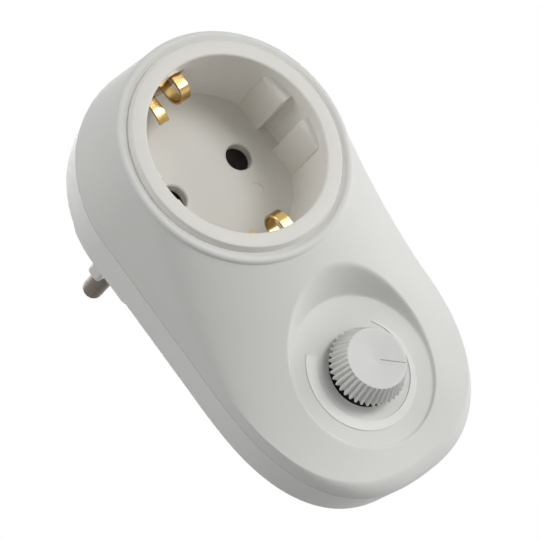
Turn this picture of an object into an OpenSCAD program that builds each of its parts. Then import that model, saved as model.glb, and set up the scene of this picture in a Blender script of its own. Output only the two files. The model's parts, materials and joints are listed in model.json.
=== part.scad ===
// Plug-in dimmer: an earthed round-well socket above a rotary knob, with an earthed plug behind.
// Working frame: x to the right, y up the body, z towards the front, z = 0 on the plug's end face.
// The stored frame stands it as plugged into a wall: X right, Y into the wall, Z up.

/* [Body] */
// Radius of the round upper end at the parting line
upper_r = 28.3; // [28:0.1:28.8]
// Half the width of the lower end at the parting line
lower_r = 28.8; // [28.4:0.1:29.2]
// Length of the sides between the round upper end and the blunt lower end
end_spacing = 38.3; // [37.8:0.1:39]
// How long the lower end is for its half width
end_stretch = 1.31; // [1.28:0.01:1.36]
// How blunt the lower end is, 2 being an ellipse
end_power = 2.5; // [2.3:0.05:2.6]
// Height of the parting line above the plug's end face
parting_z = 30.3; // [30:0.1:30.5]
// Height of the front edge at the lower end
fold_z = 33.4; // [33.2:0.1:34]
// Height of the tower's edge round the socket
collar_z = 47.5; // [47:0.1:47.8]
// How far the sloping face hollows between the tower and the lower end
sag = 0.75; // [0.5:0.05:0.85]
// Inward lean of the front shell's sides, per millimetre of height
front_draft = 0.14; // [0.12:0.002:0.15]
// Inward lean of the rear cover's sides, per millimetre of depth
rear_draft = 0.158; // [0.14:0.002:0.17]
// Radius of the rounded front edge at the lower end
edge_r = 2.4; // [1.5:0.1:2.4]
// Radius of the rounded edge on top of the tower
collar_round = 0.8; // [0.5:0.1:0.9]
// Wall thickness of the shells
wall = 2; // [1.6:0.1:2.2]

/* [Rear] */
// Height of the rear cover's flat back
rear_z = 18.8; // [18.6:0.1:18.9]
// Height of the plateau that meets the wall plate
plateau_z = 16.6; // [16:0.1:17]
// Radius of the plateau
plateau_r = 26.6; // [26:0.1:27]
// How far the plateau's centre sits below the plug's centre
plateau_drop = 3; // [2:0.1:4]

/* [Plug] */
// Distance between the two pins
pin_spacing = 19; // [19:0.1:19.2]
// Radius of a plug pin
pin_r = 2.4; // [2:0.05:2.4]
// Length of a pin beyond the plug's end face
pin_length = 19; // [18:0.1:19.5]
// Radius of the plug body's round top and bottom
plug_r = 18.4; // [18:0.1:18.6]
// Width of the plug body across its side flats
plug_w = 27.6; // [27.6:0.1:29]
// Reach of each side key from the middle
key_reach = 18.2; // [17.5:0.1:18.5]
// Width of a side key
key_w = 3.7; // [3:0.1:4.2]

/* [Socket] */
// Radius of the well at its mouth
well_r = 19.75; // [19.5:0.05:20]
// Depth of the well
well_depth = 17.5; // [17:0.1:17.5]
// Height of the flat ring round the well
rim_z = 49.2; // [49:0.1:49.5]
// Outer radius of the flat ring
ring_r = 23.1; // [22.8:0.1:23.4]
// Radius of a pin hole in the well's floor
hole_r = 2.95; // [2.7:0.05:3]
// Distance of a guide rib's face from the middle
rib_face = 17; // [16.8:0.1:17.4]
// Gap between the two ribs of a side
rib_gap = 5.3; // [5:0.1:5.6]
// Width of a guide rib
rib_w = 6.75; // [6:0.05:7]
// How far the ribs stop short of the mouth
rib_stop = 3; // [2:0.1:4]
// Distance of an earth clip's looped nose from the middle
nose_reach = 14.6; // [14.5:0.05:15.5]
// Width of an earth prong
prong_w = 2.6; // [2:0.1:3]
// Thickness of the brass strip
strip_t = 0.7; // [0.5:0.05:0.8]

/* [Knob] */
// Distance of the knob's axis below the socket's centre
knob_drop = 51.6; // [50:0.1:53]
// Height of the dish floor at the knob's axis
dish_z = 35; // [34.8:0.1:35.3]
// Radius of the dish floor
dish_r = 16.4; // [15.5:0.1:16.6]
// Outward lean of the dish wall, per millimetre of height
dish_flare = 0.6; // [0.4:0.05:0.7]
// Downhill tilt of the dish floor, in degrees
dish_tilt = 4.6; // [2:0.1:5]
// Height of the knob's lower edge
knob_base_z = 37.2; // [37:0.1:37.6]
// Height of the knob's top edge
knob_top_z = 42.2; // [41.8:0.1:43]
// Radius of the knob at its lower edge
knob_base_r = 8.7; // [8:0.1:9]
// Radius of the knob at its top edge
knob_top_r = 6.85; // [6.5:0.05:7.2]
// Number of flutes round the knob
flute_count = 40; // [30:1:44]
// Where the indicator points at rest, in degrees clockwise from the top
pointer_angle = 131; // [60:1:300]
// Radius of the potentiometer's shaft
shaft_r = 3; // [2.8:0.1:3]

/* [Circuit] */
// Width of the circuit board
board_w = 42; // [40:0.5:43]
// Height of the board's component side
board_z = 25; // [24.8:0.1:25.2]
// Outer radius of the choke's winding
choke_r = 7.2; // [6:0.1:7.4]
// Radius of the potentiometer's case
pot_r = 8; // [7.5:0.1:8.2]

/* [Hidden] */
$fn = 64;

white = [0.83, 0.835, 0.82];
ring_white = [0.81, 0.80, 0.785];
brass = [0.78, 0.62, 0.28];
nickel = [0.55, 0.53, 0.50];
steel = [0.72, 0.72, 0.72];
black = [0.12, 0.12, 0.12];
green = [0.20, 0.42, 0.24];

// Gap that keeps a cut or a neighbour clear of a face
eps = 0.1;
// Points on half a turn of the shell's outline
half_n = 24;
// Steps down the sloping face, outside and inside
face_n = 12;
inner_face_n = 7;
// Shortest straight side of a slice, at the very top of the tower
least_side = 0.2;
// Angle at which the rounded lower edge runs into the face
edge_end = 80;
edge_start_z = fold_z - edge_r * sin(edge_end);
edge_loss = edge_r * (1 - cos(edge_end));
// The collar's land is thicker than the wall, to carry the ring
ledge_z = rim_z - 3.1;
ledge_t = 1.7;
insert_fit = 0.1;
// The shallow groove between the ring and the tower's edge, and the ring's leaning side that stands in it
collar_gap = 1.2;
collar_gap_z = rim_z - 1.8;
rim_foot_z = collar_gap_z + insert_fit;
rim_flare = 0.5;
inner_top_z = ledge_z - ledge_t;
inner_fold_z = fold_z - wall;

floor_z = rim_z - well_depth;
floor_t = 2.5;
floor_back_z = floor_z - floor_t;
cup_r = 21.5;
floor_r = well_r - 0.3;
pin_x = pin_spacing / 2;
boss_top_z = 10;
// Radius of a pin's thicker shank inside the plug
shank_r = 2.6;
// Thickness of the brass feet riveted under the pins' heads
foot_t = 0.6;
// Spring leaves behind the pin holes, and where their bridge stands beside the pin's path
leaf_t = 0.5;
bridge_x = -3.8;
plug_floor_t = 2.4;
rear_inside_z = rear_z + wall;

// Earth clip: a window in the well's wall, a plate behind it, a looped prong and a straight tongue
window_w = 10.8;
window_low_z = floor_z + 2.6;
window_high_z = rim_z - 4.1;
loop_x = 1.35;
tongue_x = -3.6;
top_tongue_reach = 13.6;
bottom_tongue_reach = 15.2;
prong_r = 3;
prong_z = rim_z - 8.6;
plate_y = 20.3;
plate_w = 10.4;
tail_w = 6;
link_z = floor_back_z - 0.8;
// The plug's earth contacts lie in slots at its top and bottom
slot_y = 16.2;
slot_w = 6.4;
contact_w = 5;
contact_y = 16.4;

knob_y = -knob_drop;
shaft_hole_r = shaft_r + 0.6;
// Knob's inner hub and the pocket round it
hub_r = 4.6;
knob_wall = 1.4;
knob_pocket_h = 2.6;
flute_r = 0.34;
// The flutes lean less than the cone, so they deepen towards the knob's foot
flute_sink = 0.2;
flute_rise = 0.08;
top_dip = 0.5;
groove_w = 0.35;
groove_depth = 0.35;

// Scale arc moulded on the dish floor: angles clockwise from the top, the radius and width of its thin end,
// and how far it has grown outwards and inwards at its wide end
arc_thin_angle = 49;
arc_wide_angle = 316;
arc_r = 11.6;
arc_thin_w = 0.4;
arc_grow_out = 1.5;
arc_grow_in = 0.6;
arc_h = 0.25;
arc_steps = 36;

screw_places = [[-19, -28.5], [19, -28.5], [0, -69]];
screw_tops = [36, 36, 32.2];
front_boss_tops = [41, 41, 33];
boss_r = 4.2;
front_boss_r = 3.2;
screw_r = 1.4;
screw_head_r = 2.7;
screw_head_z = 19.3;
screw_head_t = 2;
post_places = [[-17.5, -36], [17.5, -36], [0, -62.2]];
post_r = 2;

board_t = 1.6;
board_back_z = board_z - board_t;
board_top_y = -33;
board_low_y = -64.4;
board_low_r = 23.4;
board_low_centre = -49.7;
pot_h = 6;
pot_wall = 1.1;
track_t = 0.9;
wiper_z = board_z + 1.9;
wiper_t = 0.8;
wiper_reach = 6;
heat_sink_size = [11, 15.6, 1.2];
triac_at = [-13.9, -55.6];
triac_size = [10, 9.2, 4.3];
triac_tab = [10, 15.4, 1.3];
// Distance of the triac's screw from the middle of its tab
triac_screw_y = 5;
choke_at = [-13.2, -40.4];
choke_h = 4.8;
core_r = 5.8;
core_hole_r = 3.4;
core_h = 3.4;
capacitor_at = [12.5, -37.6];
capacitor_size = [15, 7, 4.9];
timing_places = [[-2.6, -62.6], [5.8, -62.6]];
timing_size = [7, 2.6, 4.2];
resistor_places = [[11.3, -46.4], [11.3, -55]];
resistor_r = 1.15;
resistor_l = 6.3;
lead_r = 0.3;
diac_at = [-3.6, -40.5];
diac_r = 0.95;
diac_l = 4;
fuse_at = [17.3, -52.6];
fuse_r = 2.5;
fuse_l = 20;
cap_l = 5.4;
clip_t = 0.4;
fuse_z = board_z + fuse_r + clip_t;
wire_r = 0.9;
wire_n = 8;

// Routes of the two inner wires
live_route = [[-9.5, -4.5, 12.5], [-9.5, -6.5, 17], [-8.5, -11, 21.6], [-6, -18, 22.4],
  [-1, -26, 23.4], [7, -30, 27.2], [14, -32, 31.2], [21.3, -33.4, 31.3], [22.6, -38, 30],
  [21.6, -42.4, 28.4], [21.2, -45.4, 27.9]];
dimmed_route = [[-11, -32.9, 24.2], [-11.5, -27, 24.6], [-11, -18, 24.8], [-9.9, -9, 24.6],
  [-9.5, -3.8, 24.4]];

// Shell slices

function side_r(h) = upper_r - front_draft * (h - parting_z);

function blunt(v, power) = sign(v) * pow(abs(v), 2 / power);

function slice(h, side, r_up, r_low, stretch = end_stretch, power = end_power) = concat(
  [for (i = [0:half_n]) let (a = 180 * i / half_n) [r_up * cos(a), r_up * sin(a), h]],
  [for (i = [0:half_n]) let (a = 180 + 180 * i / half_n)
    [r_low * blunt(cos(a), power), r_low * stretch * blunt(sin(a), power) - side, h]]);

function round_slice(h, r) = slice(h, least_side, r, r, 1, 2);

function rear_slice(h, inset) = slice(h, end_spacing, upper_r - inset, lower_r - inset);

function face_height(t, top, low) = top - (top - low) * (t + sag * t * (1 - t));

function face_slice(t, top, low, inset, loss) = let (h = face_height(t, top, low), r = side_r(h) - inset)
  slice(h, max(least_side, end_spacing * t), r, r + (lower_r - upper_r) * t,
    1 + (end_stretch - 1) * t - loss * pow(t, 4) / lower_r, 2 + (end_power - 2) * t);

module loft(slices) {
  m = len(slices[0]);
  n = len(slices);
  sides = [for (k = [0:n - 2]) for (i = [0:m - 1]) let (j = (i + 1) % m)
    each [[k * m + i, (k + 1) * m + i, k * m + j], [k * m + j, (k + 1) * m + i, (k + 1) * m + j]]];
  polyhedron(
    points = [for (s = slices) for (p = s) p],
    faces = concat([[for (i = [0:m - 1]) i]], [[for (i = [m - 1:-1:0]) (n - 1) * m + i]], sides));
}

module front_outside() {
  edge = [for (a = [0:edge_end / 4:edge_end]) let (h = edge_start_z + edge_r * sin(a), r = side_r(h))
    slice(h, end_spacing, r, r + lower_r - upper_r, end_stretch - edge_r * (1 - cos(a)) / lower_r)];
  face = [for (i = [1:face_n]) face_slice(1 - i / face_n, collar_z, fold_z, 0, edge_loss)];
  top_r = side_r(collar_z);
  collar = [for (a = [30:30:90]) let (r = top_r - collar_round * (1 - cos(a)))
    round_slice(collar_z + collar_round * sin(a), r)];
  loft(concat([rear_slice(parting_z, 0)], edge, face, collar));
}

module front_inside() {
  low_r = side_r(inner_fold_z) - wall;
  face = [for (i = [1:inner_face_n])
    face_slice(1 - i / inner_face_n, inner_top_z, inner_fold_z, wall, 0)];
  loft(concat([rear_slice(parting_z - eps, wall),
    slice(inner_fold_z, end_spacing, low_r, low_r + lower_r - upper_r)], face));
}

// Dish under the knob

module in_dish() {
  translate([0, knob_y, dish_z]) rotate([dish_tilt, 0, 0]) children();
}

module dish_cup() {
  cup_h = 16;
  in_dish() translate([0, 0, -wall])
    cylinder(h = cup_h, r1 = dish_r + wall, r2 = dish_r + wall + dish_flare * cup_h);
}

module dish_hollow() {
  hollow_h = 16;
  in_dish() cylinder(h = hollow_h, r1 = dish_r, r2 = dish_r + dish_flare * hollow_h);
}

// The raised wedge on the dish floor that shows which way is brighter
module scale_arc() {
  function arc_a(i) = arc_thin_angle + (arc_wide_angle - arc_thin_angle) * i / arc_steps;
  function swell(i) = sin(90 * i / arc_steps);
  function outer_r(i) = arc_r + arc_grow_out * swell(i);
  function inner_r(i) = arc_r - arc_thin_w - arc_grow_in * swell(i);
  outer = [for (i = [0:arc_steps]) outer_r(i) * [sin(arc_a(i)), cos(arc_a(i))]];
  inner = [for (i = [arc_steps:-1:0]) inner_r(i) * [sin(arc_a(i)), cos(arc_a(i))]];
  in_dish() translate([0, 0, -eps]) linear_extrude(arc_h + eps) polygon(concat(outer, inner));
}

module front_bosses() {
  for (i = [0:2])
    translate([screw_places[i][0], screw_places[i][1], parting_z - 2 * eps])
      cylinder(h = front_boss_tops[i] - parting_z + 2 * eps, r = front_boss_r);
}

module front_housing() {
  pilot_r = screw_r + 0.05;
  color(white) {
    difference() {
      front_outside();
      difference() {
        front_inside();
        dish_cup();
        front_bosses();
      }
      dish_hollow();
      translate([0, 0, parting_z - 1]) cylinder(h = rim_z, r = cup_r + 0.5);
      translate([0, 0, ledge_z]) cylinder(h = rim_z, r = ring_r + insert_fit);
      translate([0, 0, collar_gap_z]) cylinder(h = rim_z, r = ring_r + collar_gap);
      translate([0, knob_y, parting_z]) cylinder(h = rim_z, r = shaft_hole_r);
      for (i = [0:2])
        translate([screw_places[i][0], screw_places[i][1], parting_z - 1])
          cylinder(h = screw_tops[i] - parting_z + 1 + eps, r = pilot_r);
    }
    scale_arc();
  }
}

// Rear cover with the plug body

module rear_outside() {
  depth = parting_z - rear_z;
  corner = 1.2;
  loft([rear_slice(rear_z, rear_draft * depth + corner),
    rear_slice(rear_z + corner * 0.3, rear_draft * depth + corner * 0.3),
    rear_slice(rear_z + corner, rear_draft * (depth - corner)),
    rear_slice(parting_z - eps, 0)]);
}

module rear_inside() {
  depth = parting_z - rear_inside_z;
  loft([rear_slice(rear_inside_z, wall + rear_draft * depth), rear_slice(parting_z, wall)]);
}

module plug_outline() {
  intersection() {
    circle(r = plug_r);
    square([plug_w, 2 * plug_r + 2], center = true);
  }
  square([2 * key_reach, key_w], center = true);
}

module plug_pocket() {
  pocket_w = plug_w - 2.4;
  pocket_h = 29.6;
  translate([0, 0, plug_floor_t]) linear_extrude(rear_inside_z - plug_floor_t + eps)
    intersection() {
      circle(r = plug_r - wall);
      square([pocket_w, pocket_h], center = true);
    }
}

module plateau() {
  rear_r = upper_r - rear_draft * (parting_z - rear_z) - 0.4;
  translate([0, 0, plateau_z]) linear_extrude(rear_z - plateau_z + eps)
    intersection() {
      translate([0, -plateau_drop]) circle(r = plateau_r);
      union() {
        circle(r = rear_r);
        translate([-rear_r, -end_spacing]) square([2 * rear_r, end_spacing]);
      }
    }
}

module at_pins() {
  for (side = [-1, 1]) translate([side * pin_x, 0, 0]) children();
}

module earth_slots() {
  for (a = [0, 180]) rotate([0, 0, a]) {
    translate([-slot_w / 2, slot_y, 1.6]) cube([slot_w, plug_r, plateau_z - 1.6]);
    translate([-contact_w / 2 - eps, contact_y - eps, plateau_z - 1])
      cube([contact_w + 2 * eps, strip_t + 2 * eps, wall + 4]);
  }
}

module rear_cover() {
  pin_boss_r = 4;
  color(white) difference() {
    union() {
      difference() {
        rear_outside();
        rear_inside();
      }
      plateau();
      linear_extrude(rear_z) plug_outline();
      for (p = screw_places) translate([p[0], p[1], rear_inside_z - eps])
        cylinder(h = parting_z - rear_inside_z - eps, r = boss_r);
      for (p = post_places) translate([p[0], p[1], rear_z + eps])
        cylinder(h = board_back_z - rear_z - eps, r = post_r);
    }
    difference() {
      plug_pocket();
      at_pins() cylinder(h = boss_top_z, r = pin_boss_r);
    }
    translate([0, 0, -1]) at_pins() cylinder(h = boss_top_z + 2, r = shank_r);
    earth_slots();
    for (p = screw_places) translate([p[0], p[1], 0]) {
      translate([0, 0, rear_z - 2])
        cylinder(h = screw_head_z + screw_head_t - rear_z + 2, r = screw_head_r + 0.3);
      translate([0, 0, rear_z]) cylinder(h = wall + 14, r = screw_r + 0.3);
    }
  }
}

// Socket

module guide_rib() {
  rib_h = well_depth - rib_stop;
  rib_depth = 3.4;
  round_r = 1.6;
  translate([0, rib_gap / 2 + rib_w, floor_z - eps]) rotate([90, 0, 0]) linear_extrude(rib_w)
    translate([rib_face, 0]) {
      square([rib_depth, rib_h - round_r]);
      translate([round_r, 0]) square([rib_depth - round_r, rib_h]);
      translate([round_r, rib_h - round_r]) circle(r = round_r);
    }
}

module guide_ribs() {
  inside_wall_r = cup_r - 0.6;
  intersection() {
    union() for (sx = [0, 1], sy = [0, 1]) mirror([sx, 0, 0]) mirror([0, sy, 0]) guide_rib();
    translate([0, 0, floor_z - 1]) cylinder(h = well_depth, r = inside_wall_r);
  }
}

module earth_window() {
  translate([-window_w / 2, well_r - 2, window_low_z]) cube([window_w, 6, window_high_z - window_low_z]);
  translate([-tail_w / 2 - eps, plate_y - eps, floor_back_z - 1])
    cube([tail_w + 2 * eps, 4, window_low_z - floor_back_z + 2]);
}

module socket_insert() {
  soft = 0.3;
  color(ring_white) difference() {
    union() {
      rotate_extrude() polygon([[0, floor_back_z], [cup_r, floor_back_z], [cup_r, ledge_z], [ring_r, ledge_z],
        [ring_r, rim_foot_z], [ring_r + rim_flare, rim_foot_z], [ring_r, rim_z - soft],
        [ring_r - soft, rim_z], [well_r + soft, rim_z], [well_r, rim_z - soft],
        [floor_r, floor_z], [0, floor_z]]);
      guide_ribs();
    }
    translate([0, 0, floor_back_z - 1]) at_pins() cylinder(h = floor_t + 2, r = hole_r);
    for (a = [0, 180]) rotate([0, 0, a]) earth_window();
  }
}

module looped_prong() {
  centre_y = nose_reach + prong_r;
  leg = plate_y - centre_y;
  translate([-prong_w / 2, centre_y, prong_z]) rotate([90, 0, 90]) linear_extrude(prong_w) {
    difference() {
      circle(r = prong_r);
      circle(r = prong_r - strip_t);
      translate([0, -prong_r - 1]) square(2 * prong_r + 2);
    }
    translate([0, prong_r - strip_t]) square([leg + eps, strip_t]);
    translate([0, -prong_r]) square([leg + eps, strip_t]);
  }
}

module earth_clip(tongue_reach) {
  color(brass) {
    translate([loop_x, 0, 0]) looped_prong();
    translate([tongue_x - prong_w / 2, tongue_reach, prong_z - prong_r])
      cube([prong_w, plate_y - tongue_reach + eps, strip_t]);
    translate([-plate_w / 2, plate_y, prong_z - prong_r]) cube([plate_w, strip_t, 2 * prong_r]);
    translate([-tail_w / 2, plate_y, link_z + strip_t])
      cube([tail_w, strip_t, prong_z - prong_r - link_z - strip_t + eps]);
  }
}

module earth_clip_top() {
  earth_clip(top_tongue_reach);
}

module earth_clip_bottom() {
  mirror([0, 1, 0]) earth_clip(bottom_tongue_reach);
}

module earth_link() {
  reach = plate_y + strip_t;
  color(brass) translate([-contact_w / 2, -reach, link_z]) cube([contact_w, 2 * reach, strip_t]);
}

module plug_earth_contact() {
  low_z = 2.4;
  color(brass) translate([-contact_w / 2, contact_y, low_z]) cube([contact_w, strip_t, link_z - low_z]);
}

module plug_earth_contact_top() {
  plug_earth_contact();
}

module plug_earth_contact_bottom() {
  rotate([0, 0, 180]) plug_earth_contact();
}

// Live parts

module plug_pin() {
  tip_r = 1.6;
  head_r = 3;
  head_t = 1;
  head_z = boss_top_z + foot_t;
  color(nickel) {
    rotate_extrude() {
      translate([0, tip_r - pin_length]) square([pin_r, pin_length - tip_r + eps]);
      square([shank_r, head_z + eps]);
      translate([0, -pin_length]) square([pin_r - tip_r, tip_r + eps]);
      translate([pin_r - tip_r, tip_r - pin_length]) intersection() {
        circle(r = tip_r);
        translate([0, -tip_r]) square(tip_r);
      }
      translate([0, head_z]) square([head_r, head_t]);
    }
  }
}

module plug_pin_live() {
  translate([-pin_x, 0, 0]) plug_pin();
}

module plug_pin_neutral() {
  translate([pin_x, 0, 0]) plug_pin();
}

// A foot riveted under a pin's head, with its hole
module pin_foot() {
  foot_w = 6.2;
  translate([0, 0, boss_top_z]) linear_extrude(foot_t) difference() {
    square([foot_w, foot_w], center = true);
    circle(r = shank_r);
  }
}

// Two leaves beside a pin's path, joined by a bridge towards the middle
module contact_leaves() {
  leaf_gap = 3.2;
  leaf_l = 6;
  low_z = rear_inside_z + 0.4;
  high_z = link_z - 0.4;
  for (side = [0, 1]) mirror([0, side, 0])
    translate([bridge_x, leaf_gap, low_z]) cube([leaf_l, leaf_t, high_z - low_z]);
  translate([bridge_x, -leaf_gap - leaf_t, low_z]) cube([leaf_t, 2 * (leaf_gap + leaf_t), high_z - low_z]);
}

module socket_contact_neutral() {
  riser_w = 4;
  color(brass) translate([pin_x, 0, 0]) {
    contact_leaves();
    pin_foot();
    translate([bridge_x, -riser_w / 2, boss_top_z]) cube([leaf_t, riser_w, rear_inside_z - boss_top_z + 1]);
    translate([bridge_x, -riser_w / 2, boss_top_z]) cube([2 * leaf_t, riser_w, foot_t]);
  }
}

module socket_contact_live() {
  color(brass) translate([-pin_x, 0, 0]) mirror([1, 0, 0]) contact_leaves();
}

module live_terminal() {
  tag_w = 2.4;
  tag_h = 4.4;
  tag_y = -3.6;
  color(brass) translate([-pin_x, 0, 0]) {
    pin_foot();
    translate([-tag_w / 2, tag_y, boss_top_z]) cube([tag_w, foot_t, tag_h]);
  }
}

// Knob and potentiometer

module knob_profile() {
  soft = 0.25;
  pocket_z = knob_base_z + knob_pocket_h;
  rotate_extrude() polygon([[0, pocket_z], [0, knob_top_z - top_dip], [knob_top_r - 2 * soft, knob_top_z],
    [knob_top_r - soft / 2, knob_top_z - soft / 5], [knob_top_r, knob_top_z - soft],
    [knob_base_r, knob_base_z], [knob_base_r - knob_wall, knob_base_z], [knob_base_r - knob_wall, pocket_z]]);
}

module flutes() {
  foot_r = knob_base_r - flute_sink;
  lean = atan((foot_r - knob_top_r - flute_rise) / (knob_top_z - knob_base_z));
  for (i = [0:flute_count - 1]) rotate([0, 0, 360 * i / flute_count])
    translate([foot_r, 0, knob_base_z]) rotate([0, -lean, 0])
      translate([0, 0, -1]) cylinder(h = knob_top_z - knob_base_z + 2, r = flute_r, $fn = 16);
}

module knob() {
  low_z = dish_z + 1.1;
  color(white) translate([0, knob_y, 0]) rotate([0, 0, -pointer_angle]) difference() {
    union() {
      knob_profile();
      translate([0, 0, low_z]) cylinder(h = knob_base_z + knob_pocket_h - low_z + eps, r = hub_r);
    }
    flutes();
    translate([0, 0, low_z - 1]) cylinder(h = knob_base_z + knob_pocket_h - low_z + 1, r = shaft_r);
    translate([-groove_w / 2, knob_top_r * 0.2, knob_top_z - top_dip * 0.5 - groove_depth])
      cube([groove_w, knob_top_r * 0.72, 2]);
  }
}

module potentiometer_shaft() {
  low_z = board_z + 1.3;
  color(steel) translate([0, knob_y, low_z])
    cylinder(h = knob_base_z + knob_pocket_h - low_z, r = shaft_r);
}

module potentiometer_case() {
  cavity_h = pot_h - pot_wall;
  color(steel) translate([0, knob_y, board_z]) difference() {
    cylinder(h = pot_h, r = pot_r);
    translate([0, 0, -eps]) cylinder(h = cavity_h + eps, r = pot_r - pot_wall);
    cylinder(h = pot_h + 1, r = shaft_r + 0.05);
  }
}

module potentiometer_track() {
  color(black) translate([0, knob_y, board_z]) cylinder(h = track_t, r = pot_r - pot_wall);
}

module potentiometer_wiper() {
  ring_w = 1.1;
  arm_w = 1.6;
  color(brass) translate([0, knob_y, wiper_z]) rotate([0, 0, -pointer_angle])
    linear_extrude(wiper_t) difference() {
      union() {
        circle(r = shaft_r + ring_w);
        translate([-arm_w / 2, 0]) square([arm_w, wiper_reach]);
      }
      circle(r = shaft_r);
    }
}

// Circuit board and its parts

module circuit_board() {
  color(green) translate([0, 0, board_back_z]) linear_extrude(board_t) intersection() {
    translate([-board_w / 2, board_low_y]) square([board_w, board_top_y - board_low_y]);
    union() {
      translate([0, board_low_centre]) circle(r = board_low_r);
      translate([-board_w / 2, board_low_centre]) square([board_w, board_top_y - board_low_centre]);
    }
  }
}

module block(at, size, z) {
  translate([at[0] - size[0] / 2, at[1] - size[1] / 2, z]) cube(size);
}

module heat_sink() {
  color(steel) difference() {
    block(triac_at, heat_sink_size, board_z);
    triac_hole();
  }
}

module triac_hole() {
  translate([triac_at[0], triac_at[1] + triac_screw_y, board_z - eps]) cylinder(h = 6, r = 1.6);
}

module triac() {
  tab_z = board_z + heat_sink_size[2];
  body_at = [triac_at[0], triac_at[1] - (triac_tab[1] - triac_size[1]) / 2];
  color(black) difference() {
    union() {
      block(body_at, triac_size, tab_z);
      block(triac_at, triac_tab, tab_z);
    }
    triac_hole();
  }
}

module triac_screw() {
  head_z = board_z + heat_sink_size[2] + triac_tab[2];
  color(steel) translate([triac_at[0], triac_at[1] + triac_screw_y, 0]) {
    translate([0, 0, head_z]) cylinder(h = 1.6, r = 2.6);
    translate([0, 0, board_z]) cylinder(h = head_z - board_z, r = 1.4);
  }
}

module choke_core() {
  color([0.45, 0.43, 0.38]) translate([choke_at[0], choke_at[1], board_z + 0.8]) difference() {
    cylinder(h = core_h, r = core_r);
    translate([0, 0, -eps]) cylinder(h = core_h + 1, r = core_hole_r);
  }
}

// One closed sleeve of copper round the core
module choke_winding() {
  lap = 0.65;
  color([0.70, 0.38, 0.16]) translate([choke_at[0], choke_at[1], board_z + 0.1]) difference() {
    cylinder(h = choke_h, r = choke_r);
    translate([0, 0, -eps]) cylinder(h = choke_h + 1, r = core_hole_r - lap);
    translate([0, 0, 0.7]) difference() {
      cylinder(h = core_h, r = core_r);
      translate([0, 0, -eps]) cylinder(h = core_h + 1, r = core_hole_r);
    }
  }
}

module interference_capacitor() {
  color([0.80, 0.68, 0.22]) block(capacitor_at, capacitor_size, board_z);
}

module timing_capacitors() {
  color([0.62, 0.30, 0.16]) for (p = timing_places) block(p, timing_size, board_z);
}

module resistors() {
  color([0.55, 0.68, 0.74]) for (p = resistor_places) translate([p[0], p[1], board_z + resistor_r]) {
    rotate([90, 0, 0]) cylinder(h = resistor_l, r = resistor_r, center = true);
    rotate([90, 0, 0]) cylinder(h = resistor_l + 1.6, r = lead_r, center = true);
  }
}

module diac() {
  color([0.30, 0.45, 0.70]) translate([diac_at[0], diac_at[1], board_z + diac_r]) rotate([0, 90, 0])
    cylinder(h = diac_l, r = diac_r, center = true);
}

module fuse() {
  glass_r = fuse_r - 0.25;
  color([0.80, 0.86, 0.88]) translate([fuse_at[0], fuse_at[1], fuse_z]) rotate([90, 0, 0]) {
    cylinder(h = fuse_l, r = glass_r, center = true);
    for (side = [-1, 1]) translate([0, 0, side * (fuse_l - cap_l) / 2])
      cylinder(h = cap_l, r = fuse_r, center = true);
  }
}

module fuse_clips() {
  clip_l = 4;
  clip_r = fuse_r + clip_t;
  clip_high = 0.5;
  color(nickel) for (side = [-1, 1])
    translate([fuse_at[0], fuse_at[1] + side * (fuse_l - cap_l) / 2, fuse_z]) rotate([90, 0, 0])
      linear_extrude(clip_l, center = true) difference() {
        intersection() {
          circle(r = clip_r);
          translate([-clip_r, -clip_r]) square([2 * clip_r, clip_r + clip_high]);
        }
        circle(r = fuse_r);
      }
}

function unit(v) = v / norm(v);

function route_way(route, i) = unit(route[min(i + 1, len(route) - 1)] - route[max(i - 1, 0)]);

function wire_ring(route, i) =
  let (way = route_way(route, i), u = unit(cross(way, [0.3, 0.2, 1])), v = cross(way, u))
  [for (k = [0:wire_n - 1]) route[i] + wire_r * (cos(360 * k / wire_n) * u + sin(360 * k / wire_n) * v)];

module wire(route) {
  loft([for (i = [0:len(route) - 1]) wire_ring(route, i)]);
}

module live_wire() {
  color([0.40, 0.24, 0.14]) wire(live_route);
}

module dimmed_wire() {
  color([0.20, 0.20, 0.22]) wire(dimmed_route);
}

module housing_screws() {
  color(steel) for (i = [0:2]) translate([screw_places[i][0], screw_places[i][1], 0]) {
    translate([0, 0, screw_head_z]) difference() {
      cylinder(h = screw_head_t, r = screw_head_r);
      for (a = [0, 90]) rotate([0, 0, a]) translate([-1.5, -0.3, -eps]) cube([3, 0.6, 0.9]);
    }
    translate([0, 0, screw_head_z + screw_head_t])
      cylinder(h = screw_tops[i] - screw_head_z - screw_head_t, r = screw_r);
  }
}

// Turns the working frame into the stored one
module stand() {
  rotate([90, 0, 0]) children();
}

stand() front_housing();
stand() rear_cover();
stand() socket_insert();
stand() earth_clip_top();
stand() earth_clip_bottom();
stand() plug_pin_live();
stand() plug_pin_neutral();
stand() knob();
stand() socket_contact_live();
stand() socket_contact_neutral();
stand() live_terminal();
stand() earth_link();
stand() plug_earth_contact_top();
stand() plug_earth_contact_bottom();
stand() circuit_board();
stand() potentiometer_case();
stand() potentiometer_track();
stand() potentiometer_wiper();
stand() potentiometer_shaft();
stand() triac();
stand() heat_sink();
stand() triac_screw();
stand() choke_core();
stand() choke_winding();
stand() interference_capacitor();
stand() timing_capacitors();
stand() resistors();
stand() diac();
stand() fuse();
stand() fuse_clips();
stand() live_wire();
stand() dimmed_wire();
stand() housing_screws();
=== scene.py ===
"""Looks of the plug-in dimmer: moulded shells, socket, brass clips, pins and fluted knob.

Lengths are in millimetres in the part's own frame (x right, y up the body, z to the front, z = 0 on the
plug's end face), and to_row() turns them into the shared frame in metres.
"""

import json
import math

import bpy
import numpy as np
from mathutils import Matrix, Vector


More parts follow.
